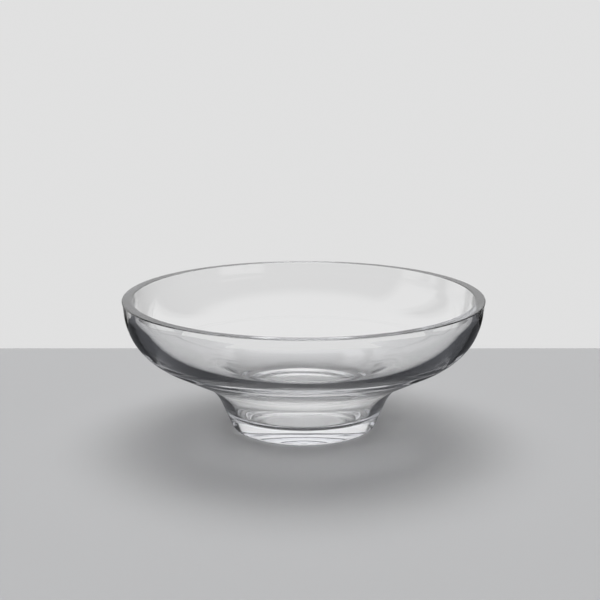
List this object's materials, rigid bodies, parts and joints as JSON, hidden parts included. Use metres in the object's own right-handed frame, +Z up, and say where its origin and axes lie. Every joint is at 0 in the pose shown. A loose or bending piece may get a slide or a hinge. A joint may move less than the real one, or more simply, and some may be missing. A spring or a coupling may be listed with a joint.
{
  "type": "floating candle bowl",
  "caption": "Shallow round bowl of thick clear glass on a hollow flared foot with a pushed-up base, and a flat polished rim; holds water and floating candles.",
  "frame": {"origin": "centre of the base, on the surface that the bowl stands on", "axes": "+Z up along the bowl's axis of turning, from the standing ring to the rim; X and Y are any two directions across the bowl"},
  "size_m": [0.2538, 0.2538, 0.095],
  "materials": {
    "clear_glass": "clear, fire-polished, with a ground and polished flat rim"
  },
  "bodies": {
    "root": {"glass_bowl": "clear_glass"}
  },
  "joints": []
}
